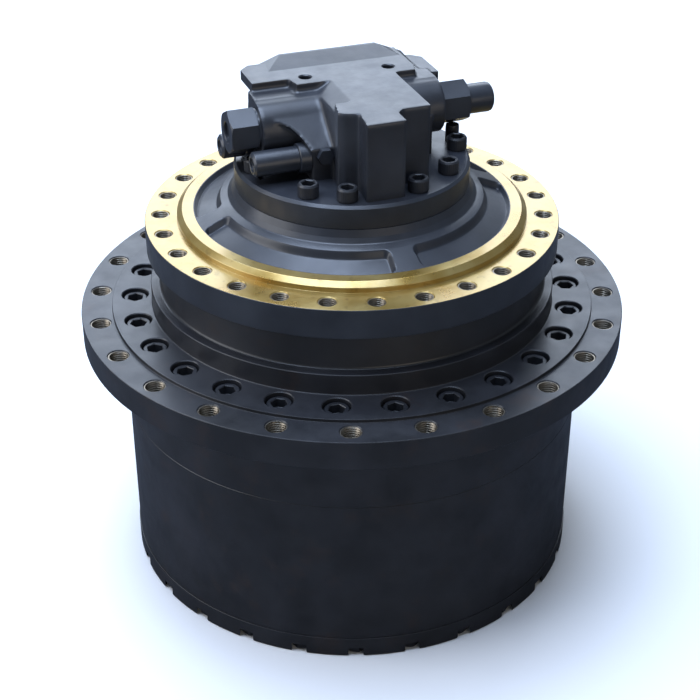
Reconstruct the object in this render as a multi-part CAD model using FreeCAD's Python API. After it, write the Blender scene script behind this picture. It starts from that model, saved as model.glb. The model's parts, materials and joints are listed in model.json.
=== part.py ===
# Planetary final drive for the track of an excavator, with its hydraulic travel motor.
# Millimetres. The origin is the centre of the frame flange's face, +Z points at the motor's
# rear cover, and +X runs along the counterbalance spool. The drum turns about Z.

import FreeCAD, Part
import math
import os

os.makedirs("parts", exist_ok=True)

V = FreeCAD.Vector
UP = V(0, 0, 1)
ALONG_X = V(1, 0, 0)

# ---------------------------------------------------------------- driving dimensions

# Fits
running_gap = 0.06           # radial, a shaft turning or sliding in its hole
seated_gap = 0.3             # between pieces of different bodies that face each other
bolt_gap = 1.0               # radial, a bolt's shank in its clearance hole

# Frame flange of the fixed motor casing
frame_flange_r = 250.0
frame_flange_thickness = 36.0
frame_bolt_count = 27
frame_bolt_circle_r = 231.2
frame_thread_r = 8.75        # M20 tapped
frame_thread_depth = 30.0
frame_bolt_angle = 270.0     # one bolt on the -Y axis
frame_pilot_r = 211.0
frame_pilot_height = 6.0
frame_pilot_chamfer = 5.5

# Cast face of the casing inside the pilot
dish_outer_r = 191.0
dish_inner_r = 158.0
dish_rise = 13.5
pocket_depth = 8.0
pocket_draft = 3.0
pocket_span = 81.0
neck_foot_r = 142.0
cover_seat_r = 137.5
cover_seat_z = 42.0
neck_foot_drop = 8.0

# Motor space inside the casing
motor_cavity_r = 98.0
motor_cavity_depth = 192.0   # below the rear cover's seat
shaft_bearing_bore_r = 45.0
shaft_bearing_width = 24.0
end_bore_step = 25.0         # the casing's end opens out below the shaft's bearing
end_bore_drop = 20.0

# Spindle that carries the drum
labyrinth_lip_wall = 7.5     # outside the seal pocket's mouth
labyrinth_lip_length = 24.0
seal_pocket_depth = 14.0
seal_pocket_step = 9.0       # the pocket's mouth stands this far outside the bearings
seal_pocket_taper = 3.0
seal_cushion_width = 14.7
cushion_reach = 22.0         # along the axis, from the sealing plane
seal_ring_inset = 10.0
seal_ring_width = 15.0
spindle_shoulder_drop = 21.0  # from the bearings' outside in to the spindle's shoulder
spindle_end_gap = 2.0

# Drum, from the frame flange down
labyrinth_gap = 4.0
neck_clearance = 3.5         # radial, between the casing's lip and the neck
neck_wall = 4.0
neck_flare = 7.0
neck_height = 43.0
collar_ledge = 12.0
collar_height = 26.0
hub_bolt_count = 26
hub_bolt_circle_r = 269.4
hub_bolt_angle = 149.5
hub_bolt_r = 10.0            # M20
hub_bolt_head_r = 15.0
hub_bolt_head_height = 20.0
counterbore_r = 16.25
counterbore_depth = 24.0
hub_bolt_thread_length = 34.0
sprocket_pilot_r = 296.8
sprocket_pilot_height = 4.3
sprocket_flange_r = 334.8
sprocket_flange_thickness = 35.6
sprocket_bolt_count = 24
sprocket_bolt_edge = 21.4    # bolt circle inside the flange's rim
sprocket_bolt_angle = 144.8
sprocket_thread_r = 10.5     # M24 tapped
drum_r = 285.1
flange_fillet_r = 6.0
hub_skirt_length = 88.1
ring_gear_length = 194.6
end_cover_thickness = 27.2
end_cover_r = 286.3

# Main bearings between spindle and drum
bearing_width = 46.0
bearing_outer_r = 205.0
bearing_section = 45.0       # from the spindle to the drum's bore
bearing_lip = 8.0
bearing_lip_height = 9.0
bearing_top_drop = 27.0      # below the collar's top
bearing_taper = 5.0
roller_thickness = 13.0

# Planetary gears: one ring gear serves both stages
tooth_addendum = 7.0         # equals the gears' module
tooth_dedendum = 8.75
pressure_angle = 20.0
backlash = 0.8
ring_teeth = 69
sun_1_teeth = 15
planet_1_count = 3
sun_2_teeth = 19
planet_2_count = 4
planet_2_width = 84.0
planet_1_width = 46.0
thrust_gap = 4.0
carrier_2_flange = 28.0
carrier_2_land = 3.0         # clears the turning bearing ring and the hub
carrier_2_plate = 14.0
carrier_post_r = 24.0
carrier_post_offset = 18.0   # outside the planets' centre circle
carrier_1_plate = 18.0
stage_gap = 6.0
pin_2_r = 24.0
pin_1_r = 21.0
roller_sleeve = 8.0
carrier_2_r = 212.0
carrier_1_r = 186.0

# End cover
cover_bolt_count = 26
cover_bolt_angle = 251.0
cover_bolt_r = 8.0           # M16
cover_bolt_head_flats = 24.0
cover_bolt_head_height = 10.0
cover_bolt_thread_length = 26.0
spotface_r = 19.0
spotface_depth = 12.5
cover_dish_depth = 6.0
cover_plug_circle_r = 190.0
cover_plug_r = 15.0

# Motor rear cover: a round flange that carries the valve block
cover_flange_thickness = 28.0
block_top_z = 162.0
deck_thickness = 12.0
hood_height = 14.0
cover_bolt_ring_r = 118.0
rear_bolt_r = 8.0            # M16
rear_bolt_head_r = 12.2
rear_bolt_head_height = 16.0
rear_bolt_thread_length = 26.0
rear_bolt_angles = (-2.0, 45.0, 90.0, 135.0, 180.0, 225.0, 247.5, 292.5, 320.0)

# Outline of the valve block's cast masses, seen from above
tower_left_x = -41.0
tower_right_x = 60.0
nose_left_x = -29.0
nose_right_x = 18.0
nose_y = -127.0
shoulder_y = -95.0
shoulder_corner = 8.0
valley_y = -54.0
valley_x = -46.5
valley_depth = 27.0
top_step_x = -20.0           # the top face's left edge, with a sloped ledge beside it
top_step_drop = 12.0
back_left_x = -96.0
back_right_x = 100.0
back_front_y = 30.0
back_corner = 14.0
right_web_front_y = -26.0
right_web_x = 92.0
web_front_y = -50.0
web_right_x = -40.0
web_front_z = 112.0
deck_left_x = -110.0
deck_left_step_x = -66.0
deck_left_front_y = 36.0
deck_middle_front_y = 16.0
deck_right_x = 125.0
deck_right_step_x = 82.0
deck_right_front_y = 29.0
deck_back_y = 97.0
deck_corner = 13.0
hood_left_x = -96.0
hood_right_x = 92.0
hood_front_y = 66.0
hood_slope_run = 18.0
hood_end_run = 15.0
casting_overlap = 1.0        # how far joined masses run into each other
counterbore_gap = 2.5        # radial, a screw's head in the casting's pocket
head_pocket_height = 40.0

# Counterbalance spool across the block
spool_y = 9.0
spool_z = 118.0
barrel_r = 33.0
barrel_left = -115.0
barrel_right = 128.0
spool_r = 14.0
spool_half_length = 84.0
plug_thread_r = 20.0
plug_thread_length = 16.0
plug_flats = 46.0
plug_hex_length = 35.0
cap_nut_flats = 44.0
cap_nut_length = 20.0
cap_flats = 37.0
cap_length = 39.0
spool_waist_r = 9.0
spool_waist_half_length = 8.0
spool_waist_spacing = 50.0

# Relief valves
relief_r = 15.5
relief_length = 54.0
relief_collar_r = 17.5
relief_collar_length = 8.0
relief_z = 92.0
relief_left_x = -72.0
relief_left_y = -35.0
relief_boss_r = 20.0
relief_boss_length = 25.0
arch_r = 40.0                # hollow of the casting over the front relief valve
gauge_plug_x = -52.0
gauge_plug_z = 100.0
gauge_plug_flats = 17.0
gauge_plug_height = 9.0
gauge_thread_r = 6.0
gauge_thread_length = 12.0
relief_rear_y = 40.0
relief_rear_z = 88.0
relief_rear_length = 32.0

# Hydraulic ports on the back of the block
port_face_y = 104.0
port_x = 45.0
port_z = 112.0
port_r = 12.5
port_depth = 34.0
port_bolt_span_x = 27.76
port_bolt_span_z = 57.15
port_thread_r = 5.1          # M12 tapped
port_thread_depth = 18.0
lifting_thread_r = 7.0       # M16 tapped
lifting_thread_depth = 24.0
lifting_y = 36.0
lifting_centre_x = 7.0
lifting_span = 104.0

# Travel motor
shaft_r = 25.0
shaft_spline_r = 22.0
block_r = 76.0
block_length = 92.0
valve_plate_r = 78.0
valve_plate_thickness = 6.0
piston_count = 9
piston_circle_r = 54.0
piston_r = 10.0
piston_length = 66.0
piston_in_block = 44.0
slipper_r = 13.0
slipper_thickness = 6.0
swash_angle = 14.0
swash_r = 84.0
swash_bore_r = 38.0
swash_axis_rise = 52.0       # the plate rocks about an axis this far above its face
cradle_wrap = 48.0           # half angle of the cradle
piston_clearance = 20.0      # depth left over each piston
cradle_r = 92.0
brake_plate_thickness = 5.0
brake_piston_length = 34.0
disc_spring_thickness = 4.0
brake_plate_wall = 4.0       # what a plate leaves between itself and the wall it isn't keyed to
brake_foot_rise = 20.0
brake_shoulder_thickness = 10.0

# ---------------------------------------------------------------- levels along the axis

spindle_r = bearing_outer_r - bearing_section
spindle_shoulder_r = bearing_outer_r - spindle_shoulder_drop
seal_pocket_mouth_r = bearing_outer_r + seal_pocket_step
seal_pocket_floor_r = seal_pocket_mouth_r - seal_pocket_taper
labyrinth_lip_r = seal_pocket_mouth_r + labyrinth_lip_wall
neck_bore_r = labyrinth_lip_r + neck_clearance
neck_top_r = neck_bore_r + neck_wall
neck_bottom_r = neck_top_r + neck_flare
collar_r = neck_bottom_r + collar_ledge
sprocket_bolt_circle_r = sprocket_flange_r - sprocket_bolt_edge

neck_top_z = -(frame_flange_thickness + labyrinth_gap)
collar_top_z = neck_top_z - neck_height
bolt_face_z = collar_top_z - collar_height
sprocket_face_z = bolt_face_z - sprocket_pilot_height
sprocket_back_z = sprocket_face_z - sprocket_flange_thickness
hub_bottom_z = sprocket_back_z - hub_skirt_length
ring_bottom_z = hub_bottom_z - ring_gear_length
base_z = ring_bottom_z - end_cover_thickness

bearing_top_z = collar_top_z - bearing_top_drop
bearing_lip_top_z = bearing_top_z - bearing_width
bearing_lip_bottom_z = bearing_lip_top_z - bearing_lip
carrier_2_top_z = bearing_lip_bottom_z - bearing_width
carrier_2_face_z = carrier_2_top_z - carrier_2_flange
planet_2_top_z = carrier_2_face_z - thrust_gap
planet_2_bottom_z = planet_2_top_z - planet_2_width
carrier_2_plate_z = planet_2_bottom_z - thrust_gap
carrier_2_bottom_z = carrier_2_plate_z - carrier_2_plate
carrier_1_top_z = carrier_2_bottom_z - stage_gap
carrier_1_face_z = carrier_1_top_z - carrier_1_plate
planet_1_top_z = carrier_1_face_z - thrust_gap
planet_1_bottom_z = planet_1_top_z - planet_1_width

planet_1_teeth = (ring_teeth - sun_1_teeth) // 2
planet_2_teeth = (ring_teeth - sun_2_teeth) // 2
centre_1_r = tooth_addendum * (sun_1_teeth + planet_1_teeth) / 2
centre_2_r = tooth_addendum * (sun_2_teeth + planet_2_teeth) / 2

lip_bottom_z = -frame_flange_thickness - labyrinth_lip_length
seal_face_z = (lip_bottom_z + collar_top_z) / 2
cavity_floor_z = cover_seat_z - motor_cavity_depth
cover_top_z = cover_seat_z + cover_flange_thickness
deck_z = block_top_z - deck_thickness
valve_plate_z = cover_seat_z - valve_plate_thickness
block_upper_z = valve_plate_z - seated_gap
block_lower_z = block_upper_z - block_length
piston_foot_z = block_lower_z - (piston_length - piston_in_block)
slipper_z = piston_foot_z - slipper_thickness
brake_stack_z = block_lower_z + brake_foot_rise
brake_pitch = brake_plate_thickness + seated_gap
brake_piston_z = brake_stack_z + 3 * brake_pitch


# ---------------------------------------------------------------- helpers

def turned(profile, degrees=360.0, start=0.0):
    """Solid of revolution about Z from a closed outline of (radius, height) points."""
    points = [V(r, 0, z) for r, z in profile]
    face = Part.Face(Part.makePolygon(points + points[:1]))
    solid = face.revolve(V(0, 0, 0), UP, degrees)
    solid.rotate(V(0, 0, 0), UP, start)
    return solid


def ring(r_in, r_out, z_low, z_high):
    return turned([(r_in, z_low), (r_out, z_low), (r_out, z_high), (r_in, z_high)])


def rod(r, z_low, z_high, x=0.0, y=0.0):
    return Part.makeCylinder(r, z_high - z_low, V(x, y, z_low), UP)


def rod_x(r, x_low, x_high, y, z):
    return Part.makeCylinder(r, x_high - x_low, V(x_low, y, z), ALONG_X)


def rod_y(r, y_low, y_high, z, x=0.0):
    return Part.makeCylinder(r, y_high - y_low, V(x, y_low, z), V(0, 1, 0))


def box(x_low, x_high, y_low, y_high, z_low, z_high):
    size = (x_high - x_low, y_high - y_low, z_high - z_low)
    return Part.makeBox(*size, V(x_low, y_low, z_low))


def slab(outline, z_low, z_high):
    """Upright prism on an outline of (x, y) points."""
    points = [V(x, y, z_low) for x, y in outline]
    return Part.Face(Part.makePolygon(points + points[:1])).extrude(V(0, 0, z_high - z_low))


def polar(r, degrees):
    a = math.radians(degrees)
    return r * math.cos(a), r * math.sin(a)


def angles(count, first):
    return [first + 360.0 * i / count for i in range(count)]


def on_circle(make, radius, directions):
    """One copy of make(x, y) at each direction on a circle."""
    return [make(*polar(radius, a)) for a in directions]


def prism_x(outline, x_low, x_high):
    """Prism along X on an outline of (y, z) points."""
    points = [V(x_low, y, z) for y, z in outline]
    return Part.Face(Part.makePolygon(points + points[:1])).extrude(V(x_high - x_low, 0, 0))


def prism_y(outline, y_low, y_high):
    """Prism along Y on an outline of (x, z) points."""
    points = [V(x, y_low, z) for x, z in outline]
    return Part.Face(Part.makePolygon(points + points[:1])).extrude(V(0, y_high - y_low, 0))


def hexagon_x(flats, x_low, x_high, y, z):
    corner = flats / math.sqrt(3)
    points = []
    for i in range(6):
        a = math.radians(60 * i)
        points.append(V(x_low, y + corner * math.sin(a), z + corner * math.cos(a)))
    return Part.Face(Part.makePolygon(points + points[:1])).extrude(V(x_high - x_low, 0, 0))


def hexagon_z(flats, z_low, z_high, x, y):
    corner = flats / math.sqrt(3)
    return slab([(x + dx, y + dy) for dx, dy in (polar(corner, 60 * i) for i in range(6))],
                z_low, z_high)


def save(name, shape):
    if isinstance(shape, list):
        shape = Part.makeCompound(shape)
    shape.exportStep("parts/" + name + ".step")


# ---------------------------------------------------------------- gears

def involute(a):
    return math.tan(a) - a


def tooth_half_angle(teeth, r):
    """Half the angle that a standard tooth fills at radius r, in radians."""
    pitch_r = tooth_addendum * teeth / 2
    alpha = math.radians(pressure_angle)
    base_r = pitch_r * math.cos(alpha)
    at_r = math.acos(min(1.0, base_r / r))
    return math.pi / (2 * teeth) + involute(alpha) - involute(at_r)


def gear_outline(teeth, first, tip_r, root_r, slack):
    """Closed outline of straight-flanked teeth, the first centred on the angle first."""
    tip = tooth_half_angle(teeth, tip_r) - slack / tip_r
    root = tooth_half_angle(teeth, max(root_r, tooth_addendum * teeth / 2 - tooth_addendum)) - slack / root_r
    points = []
    for i in range(teeth):
        centre = math.radians(first) + 2 * math.pi * i / teeth
        for r, a in ((root_r, -root), (tip_r, -tip), (tip_r, tip), (root_r, root)):
            points.append(V(r * math.cos(centre + a), r * math.sin(centre + a), 0))
    return points


def spur_gear(teeth, first, z_low, z_high, x=0.0, y=0.0):
    pitch_r = tooth_addendum * teeth / 2
    points = gear_outline(teeth, first, pitch_r + tooth_addendum, pitch_r - tooth_dedendum,
                          backlash / 4)
    gear = Part.Face(Part.makePolygon(points + points[:1])).extrude(V(0, 0, z_high - z_low))
    gear.translate(V(x, y, z_low))
    return gear


def ring_space(first, z_low, z_high):
    """The toothed space inside the ring gear, cut from its wall."""
    pitch_r = tooth_addendum * ring_teeth / 2
    outer = pitch_r + tooth_dedendum
    inner = pitch_r - tooth_addendum
    points = gear_outline(ring_teeth, first + 180.0 / ring_teeth, outer, inner, -backlash / 4)
    space = Part.Face(Part.makePolygon(points + points[:1])).extrude(V(0, 0, z_high - z_low))
    space.translate(V(0, 0, z_low))
    return space


def planet_phase(teeth, direction):
    """Angle of one tooth of a planet that meshes with the ring gear at this direction."""
    ring_phase = direction * ring_teeth / 360.0
    return direction - (ring_phase - 0.5) * 360.0 / teeth


def sun_phase(teeth, planet_teeth, direction):
    """Angle of one tooth of the sun that meshes with the planet at this direction."""
    planet_side = (direction + 180.0 - planet_phase(planet_teeth, direction)) * planet_teeth / 360.0
    return direction - (0.5 - planet_side) * 360.0 / teeth


# ---------------------------------------------------------------- fixed casing and spindle

def motor_casing():
    end_z = carrier_2_top_z + spindle_end_gap
    outline = [
        (motor_cavity_r, cover_seat_z),
        (cover_seat_r, cover_seat_z),
        (neck_foot_r, cover_seat_z - neck_foot_drop),
        ((neck_foot_r + dish_inner_r) / 2 - 2, frame_pilot_height + frame_pilot_chamfer + dish_rise + 3),
        (dish_inner_r, frame_pilot_height + frame_pilot_chamfer + dish_rise),
        (dish_outer_r, frame_pilot_height + frame_pilot_chamfer),
        (frame_pilot_r - frame_pilot_chamfer, frame_pilot_height + frame_pilot_chamfer),
        (frame_pilot_r, frame_pilot_height),
        (frame_pilot_r, 0),
        (frame_flange_r, 0),
        (frame_flange_r, -frame_flange_thickness),
        (labyrinth_lip_r, -frame_flange_thickness),
        (labyrinth_lip_r, lip_bottom_z),
        (seal_pocket_mouth_r, lip_bottom_z),
        (seal_pocket_floor_r, lip_bottom_z + seal_pocket_depth),
        (spindle_shoulder_r, lip_bottom_z + seal_pocket_depth),
        (spindle_shoulder_r, bearing_top_z),
        (spindle_r, bearing_top_z),
        (spindle_r, end_z),
        (shaft_bearing_bore_r + end_bore_step, end_z),
        (shaft_bearing_bore_r, cavity_floor_z - shaft_bearing_width - end_bore_drop),
        (shaft_bearing_bore_r, cavity_floor_z),
        (motor_cavity_r, cavity_floor_z),
    ]
    body = turned(outline)
    cuts = [face_pocket(90.0 * i) for i in range(4)]
    cuts += on_circle(lambda x, y: rod(frame_thread_r, -frame_thread_depth, 1, x, y),
                      frame_bolt_circle_r, angles(frame_bolt_count, frame_bolt_angle))
    cuts += on_circle(lambda x, y: rod(rear_bolt_r, cover_seat_z - rear_bolt_thread_length,
                                       cover_seat_z + 1, x, y),
                      cover_bolt_ring_r, rear_bolt_angles)
    return body.cut(cuts)


def face_pocket(rib_angle):
    """Cast arc pocket between two ribs of the casing's face."""
    face_z = frame_pilot_height + frame_pilot_chamfer
    top_z = face_z + dish_rise
    floor = [(dish_inner_r + pocket_draft, top_z - pocket_depth - 1.2),
             (dish_outer_r - pocket_draft, face_z - pocket_depth + 1.2)]
    mouth = [(dish_outer_r, face_z), (dish_outer_r, top_z + 5), (dish_inner_r, top_z + 5),
             (dish_inner_r, top_z)]
    return turned(floor + mouth, pocket_span, rib_angle + (90.0 - pocket_span) / 2)


# ---------------------------------------------------------------- drum

def hub():
    pocket_floor_z = collar_top_z - seal_pocket_depth
    outline = [
        (neck_bore_r, neck_top_z),
        (neck_top_r, neck_top_z),
        (neck_bottom_r, collar_top_z),
        (collar_r, collar_top_z),
        (collar_r, bolt_face_z),
        (sprocket_pilot_r, bolt_face_z),
        (sprocket_pilot_r, sprocket_face_z),
        (sprocket_flange_r, sprocket_face_z),
        (sprocket_flange_r, sprocket_back_z),
        (drum_r + flange_fillet_r, sprocket_back_z),
        (drum_r, sprocket_back_z - flange_fillet_r),
        (drum_r, hub_bottom_z),
        (ring_root_r(), hub_bottom_z),
        (ring_root_r(), carrier_2_top_z),
        (bearing_outer_r, carrier_2_top_z),
        (bearing_outer_r, bearing_lip_bottom_z),
        (bearing_outer_r - bearing_lip_height, bearing_lip_bottom_z),
        (bearing_outer_r - bearing_lip_height, bearing_lip_top_z),
        (bearing_outer_r, bearing_lip_top_z),
        (bearing_outer_r, pocket_floor_z),
        (seal_pocket_floor_r, pocket_floor_z),
        (seal_pocket_mouth_r, collar_top_z),
        (neck_bore_r, collar_top_z),
    ]
    body = turned(outline)
    seats = on_circle(lambda x, y: hub_bolt_hole(x, y), hub_bolt_circle_r,
                      angles(hub_bolt_count, hub_bolt_angle))
    threads = on_circle(lambda x, y: rod(sprocket_thread_r, sprocket_back_z - 1,
                                         sprocket_face_z + 1, x, y),
                        sprocket_bolt_circle_r, angles(sprocket_bolt_count, sprocket_bolt_angle))
    return body.cut(seats + threads)


def ring_root_r():
    return tooth_addendum * ring_teeth / 2 + tooth_dedendum


def hub_bolt_hole(x, y):
    seat_z = bolt_face_z - counterbore_depth
    head = rod(counterbore_r, seat_z, collar_top_z + 1, x, y)
    return head.fuse(rod(hub_bolt_r + bolt_gap, hub_bottom_z - 1, seat_z + 1, x, y))


def hub_bolt(x, y):
    seat_z = bolt_face_z - counterbore_depth
    head = rod(hub_bolt_head_r, seat_z, seat_z + hub_bolt_head_height, x, y)
    return head.fuse(rod(hub_bolt_r, hub_bottom_z - hub_bolt_thread_length, seat_z, x, y))


def ring_gear():
    wall = rod(drum_r, ring_bottom_z, hub_bottom_z)
    wall = wall.cut(ring_space(0.0, ring_bottom_z - 1, hub_bottom_z + 1))
    upper = on_circle(lambda x, y: rod(hub_bolt_r, hub_bottom_z - hub_bolt_thread_length - 4,
                                       hub_bottom_z + 1, x, y),
                      hub_bolt_circle_r, angles(hub_bolt_count, hub_bolt_angle))
    lower = on_circle(lambda x, y: rod(cover_bolt_r, ring_bottom_z - 1,
                                       ring_bottom_z + cover_bolt_thread_length + 4, x, y),
                      hub_bolt_circle_r, angles(cover_bolt_count, cover_bolt_angle))
    return wall.cut(upper + lower)


def end_cover():
    dish_r = ring_root_r() - 10
    outline = [
        (0, base_z),
        (end_cover_r, base_z),
        (end_cover_r, ring_bottom_z),
        (dish_r, ring_bottom_z),
        (dish_r - 8, ring_bottom_z - cover_dish_depth),
        (0, ring_bottom_z - cover_dish_depth),
    ]
    body = turned(outline)
    directions = angles(cover_bolt_count, cover_bolt_angle)
    spots = on_circle(lambda x, y: rod(spotface_r, base_z - 1, base_z + spotface_depth, x, y),
                      hub_bolt_circle_r, directions)
    holes = on_circle(lambda x, y: rod(cover_bolt_r + bolt_gap, base_z - 1, ring_bottom_z + 1, x, y),
                      hub_bolt_circle_r, directions)
    plugs = on_circle(lambda x, y: rod(cover_plug_r, base_z - 1, ring_bottom_z + 1, x, y),
                      cover_plug_circle_r, cover_plug_directions())
    return body.cut(spots + holes + plugs)


def cover_plug_directions():
    return (90.0, 180.0, 270.0)


def cover_plug(x, y):
    return rod(cover_plug_r, base_z + 2, ring_bottom_z - cover_dish_depth - 1, x, y)


def cover_bolt(x, y):
    seat_z = base_z + spotface_depth
    head = hexagon_z(cover_bolt_head_flats, seat_z - cover_bolt_head_height, seat_z, x, y)
    return head.fuse(rod(cover_bolt_r, seat_z, ring_bottom_z + cover_bolt_thread_length, x, y))


# ---------------------------------------------------------------- bearings and floating seal

def bearing_parts(z_low, wide_end_up):
    """Inner ring, roller ring and outer ring of one tapered roller bearing."""
    z_high = z_low + bearing_width
    middle = (spindle_r + bearing_outer_r) / 2
    lean = bearing_taper if wide_end_up else -bearing_taper
    inner_low = middle - roller_thickness / 2 - lean
    inner_high = middle - roller_thickness / 2 + lean
    outer_low = inner_low + roller_thickness
    outer_high = inner_high + roller_thickness
    inner = turned([(spindle_r, z_low), (inner_low - seated_gap, z_low),
                    (inner_high - seated_gap, z_high), (spindle_r, z_high)])
    outer = turned([(outer_low + seated_gap, z_low), (bearing_outer_r, z_low),
                    (bearing_outer_r, z_high), (outer_high + seated_gap, z_high)])
    step = bearing_width / 10
    slope = 2 * lean * step / bearing_width
    rollers = turned([(inner_low + slope, z_low + step), (outer_low + slope, z_low + step),
                      (outer_high - slope, z_high - step), (inner_high - slope, z_high - step)])
    return inner, rollers, outer


def seal_ring(side):
    """Lapped metal ring of the floating seal; side is +1 above the sealing plane, -1 below."""
    outer = seal_pocket_mouth_r - seal_ring_inset
    inner = outer - seal_ring_width
    foot = 5.0
    nose = 3.0
    tail = cushion_reach - nose
    profile = [(inner, 0), (outer, 0), (outer, foot), (outer - 2 * nose, foot + nose),
               (outer - foot, tail), (inner, tail)]
    return turned([(r, seal_face_z + side * (0.02 + z)) for r, z in profile])


def seal_cushion(side):
    """Rubber ring squeezed between the metal ring's ramp and the pocket's taper."""
    inner = seal_pocket_mouth_r - seal_cushion_width
    widest = cushion_reach - 8
    slack = 4.0
    mouth = (lip_bottom_z - collar_top_z) / 2
    taper = (seal_pocket_mouth_r - seal_pocket_floor_r) / seal_pocket_depth
    outer = seal_pocket_mouth_r - taper * (widest - mouth) - seated_gap
    profile = [(inner, widest + 1), (inner + slack, widest - 3), (outer, widest),
               (outer - seal_pocket_taper, cushion_reach), (inner, cushion_reach)]
    return turned([(r, seal_face_z + side * z) for r, z in profile])


# ---------------------------------------------------------------- planetary stages

def planet(teeth, first, z_low, z_high, bore_r, x, y):
    return spur_gear(teeth, first, z_low, z_high, x, y).cut(rod(bore_r, z_low - 1, z_high + 1, x, y))


def sleeve(pin_r, z_low, z_high, x, y):
    """Full set of needle rollers between a planet and its pin, drawn as one sleeve."""
    tube = ring(pin_r + running_gap, pin_r + roller_sleeve, z_low, z_high)
    tube.translate(V(x, y, 0))
    return tube


def carrier_2(directions):
    """Fixed carrier: flange against the spindle, posts between the planets, lower plate."""
    body = ring(sun_2_clear_r(), carrier_2_r, carrier_2_face_z, carrier_2_top_z - carrier_2_land)
    body = body.fuse(ring(sun_2_clear_r(), spindle_r + 10, carrier_2_face_z, carrier_2_top_z))
    body = body.fuse(ring(sun_2_clear_r(), carrier_2_r, carrier_2_bottom_z, carrier_2_plate_z))
    post_circle_r = centre_2_r + carrier_post_offset
    half = 360.0 / planet_2_count / 2
    posts = on_circle(lambda x, y: rod(carrier_post_r, carrier_2_plate_z, carrier_2_face_z, x, y),
                      post_circle_r, [a + half for a in directions])
    body = body.fuse(posts)
    pins = on_circle(lambda x, y: rod(pin_2_r, carrier_2_bottom_z - 1, carrier_2_top_z + 1, x, y),
                     centre_2_r, directions)
    return body.cut(pins)


def sun_2_clear_r():
    return tooth_addendum * sun_2_teeth / 2 + tooth_addendum + 4


def carrier_1(directions):
    """Carrier of the fast stage, splined on the tail of the second sun."""
    hole = sun_2_tail_r() + running_gap
    body = ring(hole, carrier_1_r, carrier_1_face_z, carrier_1_top_z)
    pins = on_circle(lambda x, y: rod(pin_1_r, carrier_1_face_z - 1, carrier_1_top_z + 1, x, y),
                     centre_1_r, directions)
    return body.cut(pins)


def sun_2_tail_r():
    return tooth_addendum * sun_2_teeth / 2 - tooth_dedendum - 4


def sun_2(first):
    body = spur_gear(sun_2_teeth, first, planet_2_bottom_z - thrust_gap / 2, planet_2_top_z)
    body = body.fuse(rod(sun_2_tail_r(), carrier_1_face_z, planet_2_bottom_z))
    return body.cut(rod(shaft_r + 8, carrier_1_face_z - 1, planet_2_top_z + 1))


def sun_1(first):
    teeth = spur_gear(sun_1_teeth, first, planet_1_bottom_z, planet_1_top_z)
    socket_top_z = carrier_2_top_z - 4
    shaft = rod(shaft_r + 5, planet_1_top_z, socket_top_z)
    socket = rod(shaft_spline_r + running_gap, carrier_2_face_z - 20, socket_top_z + 1)
    return teeth.fuse(shaft).cut(socket)


# ---------------------------------------------------------------- travel motor

def motor_shaft():
    body = rod(shaft_r, carrier_2_top_z - 2, cover_top_z - 6)
    tip = rod(shaft_spline_r, carrier_2_face_z - 18, carrier_2_top_z - 2)
    return body.fuse(tip)


def shaft_bearing(z_low):
    return ring(shaft_r + running_gap, shaft_bearing_bore_r, z_low, z_low + shaft_bearing_width)


def cylinder_block():
    body = ring(shaft_r + running_gap, block_r, block_lower_z, block_upper_z)
    bores = on_circle(lambda x, y: rod(piston_r + running_gap, block_lower_z - 1,
                                       block_lower_z + piston_in_block + piston_clearance, x, y),
                      piston_circle_r, angles(piston_count, 0.0))
    return body.cut(bores)


def piston(x, y):
    body = rod(piston_r, piston_foot_z, block_lower_z + piston_in_block, x, y)
    return body.fuse(rod(slipper_r, slipper_z, piston_foot_z, x, y))


def swash_level():
    """Height of the swash plate's face on its axis: it clears the slippers on its high side."""
    reach = piston_circle_r + slipper_r
    return slipper_z - seated_gap - reach * math.tan(math.radians(swash_angle))


def swash_plate():
    """Tilting plate with a cylindrical back that rocks in the casing's cradle."""
    level = swash_level()
    axis_z = level + swash_axis_rise
    reach = swash_r + swash_axis_rise
    back = rod_y(cradle_r - seated_gap, -swash_r, swash_r, axis_z)
    face = box(-reach, reach, -reach, reach, level - reach, level)
    face.rotate(V(0, 0, level), V(0, 1, 0), -swash_angle)
    body = back.common(face).common(rod(swash_r, level - reach, axis_z))
    return body.cut(rod(swash_bore_r, level - reach, axis_z))


def swash_cradle():
    """Half bearing shell on the cavity's floor for the swash plate's back."""
    axis_z = swash_level() + swash_axis_rise
    top_z = axis_z - cradle_r * math.cos(math.radians(cradle_wrap))
    body = rod(motor_cavity_r - seated_gap, cavity_floor_z, top_z)
    body = body.cut(rod_y(cradle_r, -motor_cavity_r, motor_cavity_r, axis_z))
    return body.cut(rod(shaft_bearing_bore_r, cavity_floor_z - 1, top_z + 1))


def valve_plate():
    return ring(shaft_r + 6, valve_plate_r, valve_plate_z, cover_seat_z)


# ---------------------------------------------------------------- parking brake

def friction_plate(z):
    return ring(block_r + running_gap, motor_cavity_r - brake_plate_wall, z, z + brake_plate_thickness)


def steel_plate(z):
    return ring(block_r + brake_plate_wall, motor_cavity_r - running_gap, z, z + brake_plate_thickness)


def brake_piston():
    return ring(block_r + brake_plate_wall, motor_cavity_r - running_gap, brake_piston_z,
                brake_piston_z + brake_piston_length)


def disc_spring():
    low = brake_piston_z + brake_piston_length + seated_gap
    high = cover_seat_z - disc_spring_thickness
    inner = block_r + brake_plate_wall + 1
    outer = motor_cavity_r - 2
    return turned([(inner, low), (inner + disc_spring_thickness, low), (outer, high),
                   (outer, cover_seat_z), (outer - disc_spring_thickness, cover_seat_z)])


def brake_shoulder():
    """Ring pressed in the casing that takes the brake's thrust."""
    high = brake_stack_z - seated_gap
    return ring(block_r + brake_plate_wall, motor_cavity_r, high - brake_shoulder_thickness, high)


# ---------------------------------------------------------------- rear cover with valve block

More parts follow.
